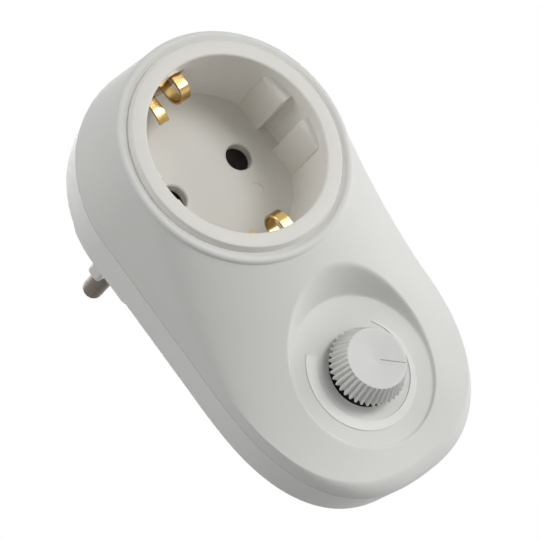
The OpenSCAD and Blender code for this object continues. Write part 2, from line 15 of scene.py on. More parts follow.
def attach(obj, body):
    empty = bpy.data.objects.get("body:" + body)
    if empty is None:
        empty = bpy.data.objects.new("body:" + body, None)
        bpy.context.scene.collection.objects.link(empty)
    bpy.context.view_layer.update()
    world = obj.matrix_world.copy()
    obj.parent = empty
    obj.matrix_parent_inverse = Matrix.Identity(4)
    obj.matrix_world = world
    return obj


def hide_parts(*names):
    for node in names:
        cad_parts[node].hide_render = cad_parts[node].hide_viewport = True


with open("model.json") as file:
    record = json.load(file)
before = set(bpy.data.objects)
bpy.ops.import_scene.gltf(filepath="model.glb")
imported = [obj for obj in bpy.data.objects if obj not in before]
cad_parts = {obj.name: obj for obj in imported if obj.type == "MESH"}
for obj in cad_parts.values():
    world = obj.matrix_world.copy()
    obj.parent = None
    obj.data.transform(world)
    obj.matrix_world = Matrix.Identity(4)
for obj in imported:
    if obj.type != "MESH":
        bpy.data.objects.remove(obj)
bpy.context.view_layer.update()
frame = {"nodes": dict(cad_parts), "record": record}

# Shells: the outline's two ends, the heights of the edges, the lean of the sides and the roundings
UPPER_R, LOWER_R, END_SPACING, END_STRETCH, END_POWER = 28.3, 28.8, 38.3, 1.31, 2.5
PARTING_Z, PARTING_GAP, FOLD_Z, COLLAR_Z = 30.3, 0.2, 33.4, 47.5
SAG, FRONT_DRAFT, REAR_DRAFT = 0.75, 0.14, 0.158
EDGE_R, EDGE_END, COLLAR_ROUND, COLLAR_GAP, WALL = 3.0, 80, 0.8, 1.2, 2.0
LEAST_SIDE = 0.2

# Rear cover, plug and the places of the screws
REAR_Z, PLATEAU_Z, PLATEAU_R, PLATEAU_DROP = 18.8, 16.6, 26.6, 3.0
PIN_X, PIN_R, PIN_LENGTH = 9.5, 2.4, 19.0
PLUG_R, PLUG_W, KEY_REACH, KEY_W = 18.4, 27.6, 18.2, 3.7
SCREWS = [(-19.0, -28.5), (19.0, -28.5), (0.0, -69.0)]

# Socket: the well, its ribs, the groove beside its ring and the earth clips
WELL_R, WELL_DEPTH, RIM_Z, RING_R, HOLE_R = 19.75, 17.5, 49.2, 23.1, 2.95
FLOOR_Z, FLOOR_T, FLOOR_R, CUP_R, LEDGE_Z = 31.7, 2.5, 19.45, 21.5, 46.1
RIB_FACE, RIB_GAP, RIB_W, RIB_STOP, RIB_ROUND, RIB_EDGE = 17.0, 5.3, 6.75, 3.0, 1.3, 0.14
RIM_FOOT_Z, RIM_FLARE, COLLAR_GAP_Z = 47.5, 0.5, 47.4
NOSE_REACH, PRONG_W, PRONG_R, STRIP_T = 14.6, 2.6, 3.0, 0.6
LOOP_X, TONGUE_X, TOP_TONGUE, BOTTOM_TONGUE = 1.35, -3.6, 13.6, 15.2
PRONG_Z, PLATE_Y, PLATE_W, TAIL_W = 40.6, 20.3, 10.4, 6.0

# Knob, dish and scale
KNOB_Y, DISH_Z, DISH_R, DISH_FLARE, DISH_TILT = -51.6, 35.0, 16.4, 0.6, 4.6
DISH_SIN, DISH_COS = math.sin(math.radians(DISH_TILT)), math.cos(math.radians(DISH_TILT))
KNOB_BASE_Z, KNOB_TOP_Z, KNOB_BASE_R, KNOB_TOP_R = 37.2, 42.2, 8.7, 6.85
FLUTES, FLUTE_FOOT, FLUTE_TOP, POINTER = 40, 0.85, 0.35, 131
ARC_R, ARC_THIN_W, ARC_GROW_OUT, ARC_GROW_IN, ARC_H = 11.6, 0.4, 1.5, 0.6, 0.18
ARC_THIN_A, ARC_WIDE_A = math.radians(49), math.radians(316)
GAP_R, SHAFT_R = 7.7, 3.0

MM = 0.001


# Mesh helpers

def to_row(points):
    """Part frame in millimetres to the shared frame in metres."""
    p = np.asarray(points, float).reshape(-1, 3)
    return np.c_[p[:, 0], -p[:, 2], p[:, 1]] * MM


def ring_faces(rings, points, closed):
    """Quads between successive rings of a stack, and back to the first ring if it is closed."""
    k = np.arange(rings if closed else rings - 1)[:, None] * points
    i = np.arange(points)[None, :]
    j = (i + 1) % points
    up = (k + points) % (rings * points)
    return np.stack([k + i, k + j, up + j, up + i], -1).reshape(-1, 4).tolist()


def stack(rings, closed=False):
    """Vertices and faces of a stack of equal rings, capped at both ends unless it closes on itself."""
    rings = np.asarray(rings, float)
    n, m = rings.shape[:2]
    faces = ring_faces(n, m, closed)
    if not closed:
        faces.append(list(range(m))[::-1])
        faces.append(list(range((n - 1) * m, n * m)))
    return rings.reshape(-1, 3), faces


def turned(profile, count):
    """Vertices and faces of a profile of (radius, height) turned round z, from axis to axis."""
    turn = np.linspace(0, 2 * np.pi, count, endpoint=False)
    rings = [np.c_[r * np.cos(turn), r * np.sin(turn), np.full(count, z)] for r, z in profile[1:-1]]
    verts, faces = np.concatenate(rings), ring_faces(len(rings), count, False)
    low, high = len(verts), len(verts) + 1
    last = (len(rings) - 1) * count
    for i in range(count):
        j = (i + 1) % count
        faces.append([low, j, i])
        faces.append([high, last + i, last + j])
    ends = [[0, 0, profile[0][1]], [0, 0, profile[-1][1]]]
    return np.vstack([verts, ends]), faces


def arc(centre, r, start, end, steps):
    """Points of an arc, angles in degrees."""
    a = np.radians(np.linspace(start, end, steps + 1))
    return [(centre[0] + r * math.cos(x), centre[1] + r * math.sin(x)) for x in a]


def inset(outline, d):
    """A closed outline moved inwards by d along its normals (counter-clockwise points)."""
    p = np.asarray(outline, float)
    ahead, behind = np.roll(p, -1, 0) - p, p - np.roll(p, 1, 0)
    n1 = np.c_[-ahead[:, 1], ahead[:, 0]] / np.linalg.norm(ahead, axis=1)[:, None]
    n2 = np.c_[-behind[:, 1], behind[:, 0]] / np.linalg.norm(behind, axis=1)[:, None]
    n = n1 + n2
    return p + d * 2 * n / np.maximum((n * n).sum(1), 0.5)[:, None]


def rounded(corners, radii, steps=6):
    """A polygon with its corners rounded (counter-clockwise points)."""
    out = []
    p = np.asarray(corners, float)
    for i, r in enumerate(radii):
        a, b, c = p[i - 1], p[i], p[(i + 1) % len(p)]
        if r <= 0:
            out.append(b)
            continue
        u, v = (a - b) / np.linalg.norm(a - b), (c - b) / np.linalg.norm(c - b)
        half = math.acos(np.clip(u @ v, -1, 1)) / 2
        cut = r / math.tan(half)
        mid = b + (u + v) / np.linalg.norm(u + v) * r / math.sin(half)
        s, e = b + u * cut - mid, b + v * cut - mid
        a0, a1 = math.atan2(s[1], s[0]), math.atan2(e[1], e[0])
        turn = (a1 - a0 + math.pi) % (2 * math.pi) - math.pi
        out += [mid + r * np.array([math.cos(a0 + turn * k / steps), math.sin(a0 + turn * k / steps)])
                for k in range(steps + 1)]
    return np.array(out)


def prism(outline, low, high, r_low=0.0, r_high=0.0, steps=4):
    """An upright block on an outline, with its lower and upper edges rounded."""
    levels = []
    if r_low:
        levels += [(low + r_low * (1 - math.sin(a)), r_low * (1 - math.cos(a)))
                   for a in np.radians(np.linspace(90, 0, steps + 1))]
    else:
        levels.append((low, 0))
    if r_high:
        levels += [(high - r_high * (1 - math.sin(a)), r_high * (1 - math.cos(a)))
                   for a in np.radians(np.linspace(0, 90, steps + 1))]
    else:
        levels.append((high, 0))
    rings = []
    for z, d in levels:
        p = inset(outline, d) if d else np.asarray(outline, float)
        rings.append(np.c_[p, np.full(len(p), z)])
    return stack(rings)


def turned_over(part):
    """The same (verts, faces) with the faces looking the other way."""
    verts, faces = part
    return verts, [f[::-1] for f in faces]


def moved(part, turn=(0, 0, 0), shift=(0, 0, 0), flip=None):
    """A copy of (verts, faces), mirrored along one axis, turned in degrees about x, y, z and shifted."""
    verts, faces = part if flip is None else turned_over(part)
    v = np.array(verts, float)
    if flip is not None:
        v[:, flip] *= -1
    for axis, angle in zip("XYZ", turn):
        if angle:
            v = v @ np.array(Matrix.Rotation(math.radians(angle), 3, axis)).T
    return v + np.array(shift, float), faces


def joined(*parts):
    """Several (verts, faces) as one."""
    verts, faces, base = [], [], 0
    for v, f in parts:
        verts.append(np.asarray(v, float))
        faces += [[i + base for i in face] for face in f]
        base += len(v)
    return np.concatenate(verts), faces


def mesh_object(name, part):
    """A Blender mesh object from (verts, faces)."""
    verts, faces = part
    mesh = bpy.data.meshes.new(name)
    mesh.from_pydata(to_row(verts).tolist(), [], faces)
    mesh.validate()
    obj = bpy.data.objects.new(name, mesh)
    bpy.context.scene.collection.objects.link(obj)
    return obj


def carve(part, *cutters):
    """The part with the cutters taken away, as (verts, faces)."""
    obj = mesh_object("carved", part)
    tools = [mesh_object("cutter", c) for c in cutters]
    for tool in tools:
        cut = obj.modifiers.new("cut", "BOOLEAN")
        cut.operation, cut.solver, cut.object = "DIFFERENCE", "EXACT", tool
    bpy.context.view_layer.update()
    mesh = bpy.data.meshes.new_from_object(obj.evaluated_get(bpy.context.evaluated_depsgraph_get()))
    co = np.array([v.co for v in mesh.vertices]) / MM
    verts = np.c_[co[:, 0], co[:, 2], -co[:, 1]]
    faces = [list(p.vertices) for p in mesh.polygons]
    for o in [obj, *tools]:
        bpy.data.objects.remove(o)
    return verts, faces


def piece(name, part, material, body="housing", nodes=(), sharp=35):
    """A finished piece that rides on a body and stands for CAD nodes."""
    obj = mesh_object(name, part)
    obj.data.materials.append(material)
    obj.data.shade_smooth()
    obj.data.set_sharp_from_angle(angle=math.radians(sharp))
    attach(obj, body)
    if nodes:
        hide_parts(*nodes)


# Materials

class Nodes:
    """A short way to write a node tree."""

    def __init__(self, name):
        self.material = bpy.data.materials.new(name)
        self.material.use_nodes = True
        self.tree = self.material.node_tree
        self.shader = self.tree.nodes["Principled BSDF"]
        self.place = self.add("ShaderNodeTexCoord").outputs["Object"]

    def add(self, kind):
        return self.tree.nodes.new(kind)

    def link(self, a, b):
        self.tree.links.new(a, b)

    def stretched(self, scale):
        """Places for a noise that is drawn out along an axis."""
        node = self.add("ShaderNodeMapping")
        node.inputs["Scale"].default_value = scale
        self.link(self.place, node.inputs["Vector"])
        return node.outputs["Vector"]

    def noise(self, scale, detail=2.0, place=None):
        """A noise with its scale in waves per metre."""
        node = self.add("ShaderNodeTexNoise")
        node.inputs["Scale"].default_value = scale
        node.inputs["Detail"].default_value = detail
        self.link(place or self.place, node.inputs["Vector"])
        return node.outputs["Fac"]

    def between(self, factor, low, high):
        """Maps 0.3 to 0.7 of a noise to a range of numbers."""
        node = self.add("ShaderNodeMapRange")
        for key, value in zip(("From Min", "From Max", "To Min", "To Max"), (0.3, 0.7, low, high)):
            node.inputs[key].default_value = value
        self.link(factor, node.inputs["Value"])
        return node.outputs["Result"]

    def tint(self, factor, low, high):
        """Mixes two colours by a noise."""
        node = self.add("ShaderNodeValToRGB")
        node.color_ramp.elements[0].position, node.color_ramp.elements[1].position = 0.35, 0.65
        node.color_ramp.elements[0].color = (*low, 1)
        node.color_ramp.elements[1].color = (*high, 1)
        self.link(factor, node.inputs["Fac"])
        return node.outputs["Color"]

    def bump(self, height, strength, depth):
        """Raises the surface by a noise, with the depth in metres."""
        node = self.add("ShaderNodeBump")
        node.inputs["Strength"].default_value = strength
        node.inputs["Distance"].default_value = depth
        self.link(height, node.inputs["Height"])
        self.link(node.outputs["Normal"], self.shader.inputs["Normal"])


def shade(color, k):
    """A colour made k times as light."""
    return tuple(min(1.0, c * k) for c in color)


def plastic(name, color, rough=0.48, grain=9000, strength=0.12):
    """Moulded plastic: a fine satin grain, faint cloudiness and uneven sheen."""
    clouds, patches, uneven, depth = 45, 700, 0.05, 0.00004
    n = Nodes(name)
    n.link(n.tint(n.noise(clouds, 3), shade(color, 0.985), shade(color, 1.01)), n.shader.inputs["Base Color"])
    n.link(n.between(n.noise(patches), rough - uneven, rough + uneven), n.shader.inputs["Roughness"])
    n.bump(n.noise(grain, 1), strength, depth)
    n.shader.inputs["Specular IOR Level"].default_value = 0.35
    return n.material


def metal(name, color, rough, stretch=(1, 1, 1), grain=2500, strength=0.1):
    """Rolled or plated metal: fine drawn lines and slight tarnish."""
    tarnish, uneven, depth = 260, 0.06, 0.00003
    n = Nodes(name)
    n.link(n.tint(n.noise(tarnish, 3), shade(color, 0.88), color), n.shader.inputs["Base Color"])
    lines = n.noise(grain, 2, n.stretched(stretch))
    n.link(n.between(lines, rough - uneven, rough + uneven), n.shader.inputs["Roughness"])
    n.bump(lines, strength, depth)
    n.shader.inputs["Metallic"].default_value = 1.0
    return n.material


SHELL = plastic("shell_plastic", (0.797, 0.797, 0.77))
# The scale band is glossier than the shell, and its colour is painted lighter as a painted highlight
BAND_PAINTED_LIGHTER = plastic("glossy_band_painted_lighter", (0.825, 0.825, 0.80), rough=0.34, strength=0.05)
INSERT = plastic("insert_plastic", (0.83, 0.812, 0.765), rough=0.42, strength=0.08)
KNOB = plastic("knob_plastic", (0.755, 0.755, 0.735), rough=0.42, strength=0.08)
# Brass with its colour painted darker, a painted reflection of dark surroundings
BRASS_PAINTED_DARKER = metal("brass_strip_painted_darker", (0.63, 0.43, 0.175), 0.2, stretch=(0.15, 1, 1))
# Nickel plate with its colour painted near black, a painted reflection of dark surroundings
NICKEL_PAINTED_DARK = metal("nickel_plate_painted_dark", (0.125, 0.1, 0.08), 0.36, stretch=(1, 0.2, 1))
STEEL = metal("zinc_steel", (0.66, 0.66, 0.64), 0.38)
TARNISHED = metal("tarnished_contact", (0.3, 0.13, 0.075), 0.5)

# What the CAD nodes that still show or lie inside are finished with, by material slot
FINISHES = {
    "shell_white": SHELL,
    "insert_white": INSERT,
    "knob_white": KNOB,
    "brass": BRASS_PAINTED_DARKER,
    "nickel": NICKEL_PAINTED_DARK,
    "steel": STEEL,
    "aluminium": metal("sheet_aluminium", (0.74, 0.74, 0.75), 0.4, stretch=(1, 1, 0.1)),
    "copper": metal("enamelled_copper", (0.70, 0.34, 0.16), 0.3, stretch=(1, 0.1, 1)),
    "ferrite": plastic("iron_powder", (0.17, 0.155, 0.12), rough=0.75, grain=5000, strength=0.4),
    "black_plastic": plastic("black_plastic", (0.014, 0.014, 0.014), rough=0.5),
    "board_green": plastic("board_laminate", (0.035, 0.15, 0.05), rough=0.35, grain=3000),
    "film_yellow": plastic("yellow_case", (0.62, 0.42, 0.045), rough=0.3),
    "film_brown": plastic("brown_coat", (0.35, 0.075, 0.022), rough=0.25),
    "resistor_blue": plastic("blue_lacquer", (0.22, 0.37, 0.48), rough=0.3),
    "fuse_glass": plastic("fuse_tube", (0.62, 0.72, 0.75), rough=0.12, strength=0.02),
    "wire_brown": plastic("brown_insulation", (0.13, 0.047, 0.018), rough=0.45),
    "wire_black": plastic("black_insulation", (0.03, 0.03, 0.035), rough=0.45),
}


# Front shell

# Points round a slice, and slices down the face outside and inside
UP_N, SIDE_N, LOW_N = 96, 14, 360
FACE_N, INNER_N = 280, 24


def side_r(h):
    """The upper end's radius at a height."""
    return UPPER_R - FRONT_DRAFT * (h - PARTING_Z)


def blunt(v, power):
    """A sine or cosine for an end that is blunter than a circle. A power of 2 is the circle."""
    return np.sign(v) * np.abs(v) ** (2 / power)


def ring(h, side, r_up, r_low, stretch=END_STRETCH, power=END_POWER):
    """A level slice of a shell: a half circle round the socket, two straight sides, a blunt end below."""
    up, low = np.radians(np.linspace(0, 180, UP_N + 1)), np.radians(np.linspace(180, 360, LOW_N + 1))
    a = np.c_[r_up * np.cos(up), r_up * np.sin(up)]
    b = np.c_[r_low * blunt(np.cos(low), power), r_low * stretch * blunt(np.sin(low), power) - side]
    f = np.linspace(0, 1, SIDE_N + 2)[1:-1, None]
    plan = np.vstack([a, a[-1] + f * (b[0] - a[-1]), b, b[-1] + f * (a[0] - b[-1])])
    return np.c_[plan, np.full(len(plan), h)]


def face_ring(t, top, low, gap, loss):
    """The slice that meets the sloping face a share t of the way down it."""
    h = top - (top - low) * (t + SAG * t * (1 - t))
    r = side_r(h) - gap
    return ring(h, max(LEAST_SIDE, END_SPACING * t), r, r + (LOWER_R - UPPER_R) * t,
                1 + (END_STRETCH - 1) * t - loss * t ** 4 / LOWER_R, 2 + (END_POWER - 2) * t)


def round_ring(h, r, side=LEAST_SIDE):
    """A slice that is a circle round the socket."""
    return ring(h, side, r, r, 1, 2)


def soft_max(a, b, k):
    """The larger of two heights, rounded over k where they meet."""
    h = np.maximum(k - np.abs(a - b), 0) / k
    return np.maximum(a, b) + h * h * k / 4


def dish_height(x, y, grow=0.0, corner=0.45):
    """Height of the tilted dish: a round floor and a leaning wall. grow widens and deepens it."""
    rounds = 6
    w = np.zeros_like(x)
    for _ in range(rounds):
        v = (y - KNOB_Y + (w - grow) * DISH_SIN) / DISH_COS
        w = soft_max((np.hypot(x, v) - DISH_R - grow) / DISH_FLARE, np.zeros_like(x), corner)
    return DISH_Z + v * DISH_SIN + (w - grow) * DISH_COS


def sink_dish(rings):
    """Presses the dish into the outer slices, with a soft lip that sharpens towards its lower side."""
    low_lip, lip_growth = 0.35, 0.65
    x, y, z = rings[..., 0], rings[..., 1], rings[..., 2]
    up = (y - KNOB_Y) / np.maximum(np.hypot(x, y - KNOB_Y), 1e-6)
    lip = low_lip + lip_growth * (0.5 + 0.5 * up) ** 1.5
    rings[..., 2] = -soft_max(-z, -dish_height(x, y), lip)
    return rings


def front_shell():
    """The outer slices from the parting line to the collar, the socket's hole, and the inside."""
    edge_start = FOLD_Z - EDGE_R * math.sin(math.radians(EDGE_END))
    loss = EDGE_R * (1 - math.cos(math.radians(EDGE_END)))
    outer = [ring(PARTING_Z, END_SPACING, UPPER_R, LOWER_R)]
    for a in np.radians(np.linspace(0, EDGE_END, 12)):
        h = edge_start + EDGE_R * math.sin(a)
        r = side_r(h)
        outer.append(ring(h, END_SPACING, r, r + LOWER_R - UPPER_R,
                          END_STRETCH - EDGE_R * (1 - math.cos(a)) / LOWER_R))
    outer += [face_ring(1 - i / FACE_N, COLLAR_Z, FOLD_Z, 0, loss) for i in range(1, FACE_N + 1)]
    top_r = side_r(COLLAR_Z)
    for a in np.radians(np.linspace(15, 90, 6)):
        r = top_r - COLLAR_ROUND * (1 - math.cos(a))
        outer.append(round_ring(COLLAR_Z + COLLAR_ROUND * math.sin(a), r))
    outer = sink_dish(np.array(outer))
    land_z, gap_z, gap_r = COLLAR_Z + COLLAR_ROUND, COLLAR_GAP_Z, RING_R + COLLAR_GAP
    ledge_t, ring_fit, cup_fit = 1.7, 0.1, 0.5
    seat_r, cup_r = RING_R + ring_fit, CUP_R + cup_fit
    inner_top, inner_low = LEDGE_Z - ledge_t, FOLD_Z - WALL
    groove = [(gap_r + 0.6, land_z), (gap_r + 0.3, land_z - 0.06), (gap_r + 0.05, land_z - 0.18),
              (gap_r - 0.35, gap_z + 0.5), (gap_r - 0.62, gap_z + 0.4), (seat_r, gap_z)]
    seat = [(seat_r, LEDGE_Z), (cup_r, LEDGE_Z), (cup_r, inner_top)]
    hole = [round_ring(z, r, 0) for r, z in groove + seat]
    inner = [face_ring(i / INNER_N, inner_top, inner_low, WALL, 0) for i in range(INNER_N + 1)]
    inner.append(ring(PARTING_Z, END_SPACING, UPPER_R - WALL, LOWER_R - WALL))
    inner = np.array(inner)
    x, y = inner[..., 0], inner[..., 1]
    inner[..., 2] = np.minimum(inner[..., 2], dish_height(x, y, grow=WALL))
    return stack(np.concatenate([outer, np.array(hole), inner]), closed=True)


def in_dish(part):
    """A part that stands on z = 0 set on the tilted dish floor, round the knob's axis."""
    return moved(part, turn=(DISH_TILT, 0, 0), shift=(0, KNOB_Y, DISH_Z))


def scale_arc():
    """The raised wedge on the dish floor, thin at the dim end and wide at the bright end."""
    soft, root, steps = 0.06, -0.1, 160
    rings = []
    for i in range(steps + 1):
        f = i / steps
        a = ARC_THIN_A + (ARC_WIDE_A - ARC_THIN_A) * f
        swell = math.sin(math.pi / 2 * f)
        r_out, r_in = ARC_R + ARC_GROW_OUT * swell, ARC_R - ARC_THIN_W - ARC_GROW_IN * swell
        section = [(r_out, root), (r_out, ARC_H - soft), (r_out - soft, ARC_H), (r_in + soft, ARC_H),
                   (r_in, ARC_H - soft), (r_in, root)]
        rings.append([(r * math.sin(a), r * math.cos(a), w) for r, w in section])
    return in_dish(stack(rings))


def knob_gap():
    """The opening in the dish floor under the knob."""
    low, high, lead = -4, 1, 0.15
    profile = [(0, low), (GAP_R, low), (GAP_R, -lead), (GAP_R + lead, 0), (GAP_R + lead, high), (0, high)]
    return in_dish(turned(profile, 96))


def painted_shade_seat():
    """A black seat under the knob's opening, put there as painted shade so that the gap shows dark."""
    low, step, high = -1.6, -1.1, -0.9
    bore_r, rim_r, top_r = SHAFT_R + 0.3, GAP_R + 0.4, GAP_R - 0.4
    turn = np.linspace(0, 2 * np.pi, 96, endpoint=False)
    section = [(bore_r, low), (rim_r, low), (rim_r, step), (top_r, high), (bore_r, high)]
    rings = [np.c_[r * np.sin(turn), r * np.cos(turn), np.full(len(turn), z)] for r, z in section]
    return in_dish(turned_over(stack(rings, closed=True)))


piece("front_shell", carve(front_shell(), knob_gap()), SHELL, nodes=["front_housing"])
# The scale band wears the glossier plastic with the painted highlight
piece("scale_band", scale_arc(), BAND_PAINTED_LIGHTER)
# The black seat is painted shade in the gap under the knob
piece("painted_shade_seat", painted_shade_seat(), FINISHES["black_plastic"])


# Rear cover with the plug body

def circle(r, count, y=0.0):
    """Points of a circle round (0, y)."""
    return [(r * math.cos(a), y + r * math.sin(a)) for a in np.linspace(0, 2 * np.pi, count, endpoint=False)]


def rear_tray():
    """The shallow hollow rear shell with a rounded back edge. Its lower end leans less than its sides."""
    round_r, upright = 1.4, 0.6
    depth, front = PARTING_Z - REAR_Z, PARTING_Z - PARTING_GAP
    outer = []
    for z in np.linspace(front, REAR_Z + round_r, 4):
        d = REAR_DRAFT * (PARTING_Z - z)
        outer.append(ring(z, END_SPACING + upright * d, UPPER_R - d, LOWER_R - d))
    longest = END_SPACING + upright * REAR_DRAFT * (depth - round_r)
    for a in np.radians(np.linspace(12, 90, 7)):
        d = REAR_DRAFT * (depth - round_r) + round_r * (1 - math.cos(a))
        outer.append(ring(REAR_Z + round_r * (1 - math.sin(a)), longest, UPPER_R - d, LOWER_R - d))
    inner = [ring(z, END_SPACING, UPPER_R - WALL - d, LOWER_R - WALL - d) for z, d in
             [(front, 0), (REAR_Z + WALL, REAR_DRAFT * (depth - WALL))]]
    return stack([inner[1], inner[0], *outer])


def plug_body():
    """The round plug with flat sides, two side keys and a slot for each earth contact."""
    half = math.degrees(math.acos(PLUG_W / 2 / PLUG_R))
    corner, edge, w, k = 0.9, 0.8, PLUG_W / 2, KEY_W / 2
    top = arc((0, 0), PLUG_R, half, 180 - half, 48)
    left = rounded([(-w, k), (-KEY_REACH, k), (-KEY_REACH, -k), (-w, -k)], [0, corner, corner, 0])
    bottom = arc((0, 0), PLUG_R, 180 + half, 360 - half, 48)
    body = prism(np.vstack([top, left, bottom, -left]), 0, REAR_Z, r_low=edge)
    slot_w, slot_y, far, start = 3.2, 16.2, 30, 1.6
    slot = prism([(-slot_w, slot_y), (slot_w, slot_y), (slot_w, far), (-slot_w, far)], start, PLATEAU_Z)
    return carve(body, slot, moved(slot, turn=(0, 0, 180)))


def plateau():
    """The round plateau that meets the wall plate, clipped where it would pass the rear edge."""
    margin, lap, edge = 0.9, 0.5, 0.6
    rear_r = UPPER_R - REAR_DRAFT * (PARTING_Z - REAR_Z) - margin
    p = np.array(circle(PLATEAU_R, 160, -PLATEAU_DROP))
    upper = p[:, 1] > 0
    far = np.linalg.norm(p, axis=1)
    p[upper] *= np.minimum(1, rear_r / far[upper])[:, None]
    p[:, 0] = np.clip(p[:, 0], -rear_r, rear_r)
    return prism(p, PLATEAU_Z, REAR_Z + lap, r_low=edge)


def rear_cover():
    """The tray with a hole and a post for each screw, the plateau and the plug."""
    recess_r, deep, post_r, count = 3.0, 21.3, 4.2, 48
    low, post_low, post_high = REAR_Z - 3, REAR_Z + 1, PARTING_Z - PARTING_GAP
    places = [(x, y, 0) for x, y in SCREWS]
    hole = turned([(0, low), (recess_r, low), (recess_r, deep), (0, deep)], count)
    tray = carve(rear_tray(), *[moved(hole, shift=place) for place in places])
    recess = prism(circle(recess_r, count), REAR_Z, deep)
    post = carve(prism(circle(post_r, count), post_low, post_high), recess)
    return joined(tray, plateau(), plug_body(), *[moved(post, shift=place) for place in places])


piece("rear_shell", rear_cover(), SHELL, nodes=["rear_cover"])


# Socket

def well():
    """The round insert: a flat ring, a slightly tapering well and its floor."""
    back = FLOOR_Z - FLOOR_T
    soft, mouth, foot, inner_r = 0.35, 0.5, 0.2, 6.0
    profile = [(0, back), (CUP_R, back), (CUP_R, LEDGE_Z), (RING_R, LEDGE_Z), (RING_R, RIM_FOOT_Z),
               (RING_R + RIM_FLARE, RIM_FOOT_Z)]
    profile += arc((RING_R - soft, RIM_Z - soft), soft, 20, 90, 5)
    profile += arc((WELL_R + mouth, RIM_Z - mouth), mouth, 90, 180, 6)
    profile += arc((FLOOR_R - foot, FLOOR_Z + foot), foot, 0, -90, 6)
    profile += [(inner_r, FLOOR_Z), (0, FLOOR_Z)]
    return turned(profile, 256)


def pin_hole(x):
    """A hole through the floor with a softened edge."""
    low, high, lead = FLOOR_Z - FLOOR_T - 1, FLOOR_Z + 1, 0.3
    profile = [(0, low), (HOLE_R, low), (HOLE_R, FLOOR_Z - lead), (HOLE_R + lead, FLOOR_Z),
               (HOLE_R + lead, high), (0, high)]
    return moved(turned(profile, 64), shift=(x, 0, 0))


def earth_window():
    """The opening in the well's wall that a clip's prong and tongue come through."""
    left, right, near, far = -5.4, 3.0, WELL_R - 2, WELL_R + 4
    low, high = FLOOR_Z + 2.6, RIM_Z - 4.1
    return prism([(left, near), (right, near), (right, far), (left, far)], low, high)


def guide_rib():
    """One rib pad with a rounded top and soft edges, on the right-hand side above the middle."""
    low, top, root = FLOOR_Z - 0.5, FLOOR_Z + WELL_DEPTH - RIB_STOP, 20.6
    side = rounded([(RIB_FACE, low), (root, low), (root, top), (RIB_FACE, top)], [0, 0, 0, RIB_ROUND], 8)
    slab = prism(side, 0, RIB_W, r_low=RIB_EDGE, r_high=RIB_EDGE)
    return moved(slab, turn=(90, 0, 0), shift=(0, RIB_GAP / 2 + RIB_W, 0))


def ejector_mark():
    """The shallow round mark that the mould leaves on the floor."""
    x, y, r, deep, high = 8.0, -7.9, 1.65, 0.14, 1
    return moved(turned([(0, -deep), (r, -deep), (r + deep, high), (0, high)], 48), shift=(x, y, FLOOR_Z))


def socket_insert():
    """The well with its holes, windows and mark cut out, and its four ribs."""
    window = earth_window()
    body = carve(well(), pin_hole(-PIN_X), pin_hole(PIN_X), window, moved(window, flip=1), ejector_mark())
    rib = guide_rib()
    ribs = [rib, moved(rib, flip=0), moved(rib, flip=1), moved(moved(rib, flip=0), flip=1)]
    return joined(body, *ribs)


piece("socket_well", socket_insert(), INSERT, nodes=["socket_insert"], sharp=40)


def bent_strip(path, width, thick):
    """A strip of constant thickness along a path of (y, z) points, centred on x = 0, with softened edges."""
    p = np.asarray(path, float)
    way = np.gradient(p, axis=0)
    way /= np.linalg.norm(way, axis=1)[:, None]
    side = np.c_[-way[:, 1], way[:, 0]]
    w, t, soft = width / 2, thick / 2, 0.12
    section = [(-w + soft, -t), (w - soft, -t), (w, -t + soft), (w, t - soft), (w - soft, t), (-w + soft, t),
               (-w, t - soft), (-w, -t + soft)]
    rings = [[(x, q[0] + d * s[0], q[1] + d * s[1]) for x, d in section] for q, s in zip(p, side)]
    return stack(rings)


def upright_strip(low, high, width):
    """A flat strip behind the well's wall."""
    return bent_strip([(PLATE_Y + STRIP_T / 2, z) for z in np.linspace(low, high, 4)], width, STRIP_T)


def earth_clip(tongue_reach):
    """A prong bent into a loop towards the middle and a tongue that dips at its end, on a plate and tail."""
    r, root_y, nose_y = PRONG_R - STRIP_T / 2, PLATE_Y + 0.2, NOSE_REACH + PRONG_R
    legs = np.linspace(root_y, nose_y, 5)[:-1]
    path = [(y, PRONG_Z + r) for y in legs]
    path += arc((nose_y, PRONG_Z), r, 90, 270, 24)
    path += [(y, PRONG_Z - r) for y in legs[::-1]]
    loop = bent_strip(path, PRONG_W, STRIP_T)
    dip_length, dip_growth = 3.0, 0.17
    along = np.linspace(root_y, tongue_reach, 16)
    dip = dip_growth * np.maximum(tongue_reach + dip_length - along, 0) ** 1.5
    tongue = bent_strip(np.c_[along, PRONG_Z - r - dip], PRONG_W, STRIP_T)
    plate = upright_strip(PRONG_Z - PRONG_R, PRONG_Z + PRONG_R, PLATE_W)
    tail = upright_strip(FLOOR_Z - FLOOR_T, PRONG_Z - PRONG_R, TAIL_W)
    return joined(moved(loop, shift=(LOOP_X, 0, 0)), moved(tongue, shift=(TONGUE_X, 0, 0)), plate, tail)


# The clips' brass carries the painted dark reflection
piece("clip_top", earth_clip(TOP_TONGUE), BRASS_PAINTED_DARKER, nodes=["earth_clip_top"])
piece("clip_bottom", moved(earth_clip(BOTTOM_TONGUE), flip=1), BRASS_PAINTED_DARKER, nodes=["earth_clip_bottom"])


def plug_pin():
    """A round pin with a domed tip and a head inside the plug."""
    tip, mid_z, head_r, head_z, head_top = 1.7, -8.0, 3.0, 10.6, 11.6
    profile = [(0, -PIN_LENGTH)] + arc((PIN_R - tip, tip - PIN_LENGTH), tip, -90, 0, 8)
    profile += [(PIN_R, mid_z), (PIN_R, 0.0), (PIN_R, head_z)]
    profile += [(head_r, head_z), (head_r, head_top), (0, head_top)]
    return turned(profile, 64)


# The pins' nickel carries the painted dark reflection
piece("pin_live", moved(plug_pin(), shift=(-PIN_X, 0, 0)), NICKEL_PAINTED_DARK, nodes=["plug_pin_live"])
piece("pin_neutral", moved(plug_pin(), shift=(PIN_X, 0, 0)), NICKEL_PAINTED_DARK, nodes=["plug_pin_neutral"])


# Knob

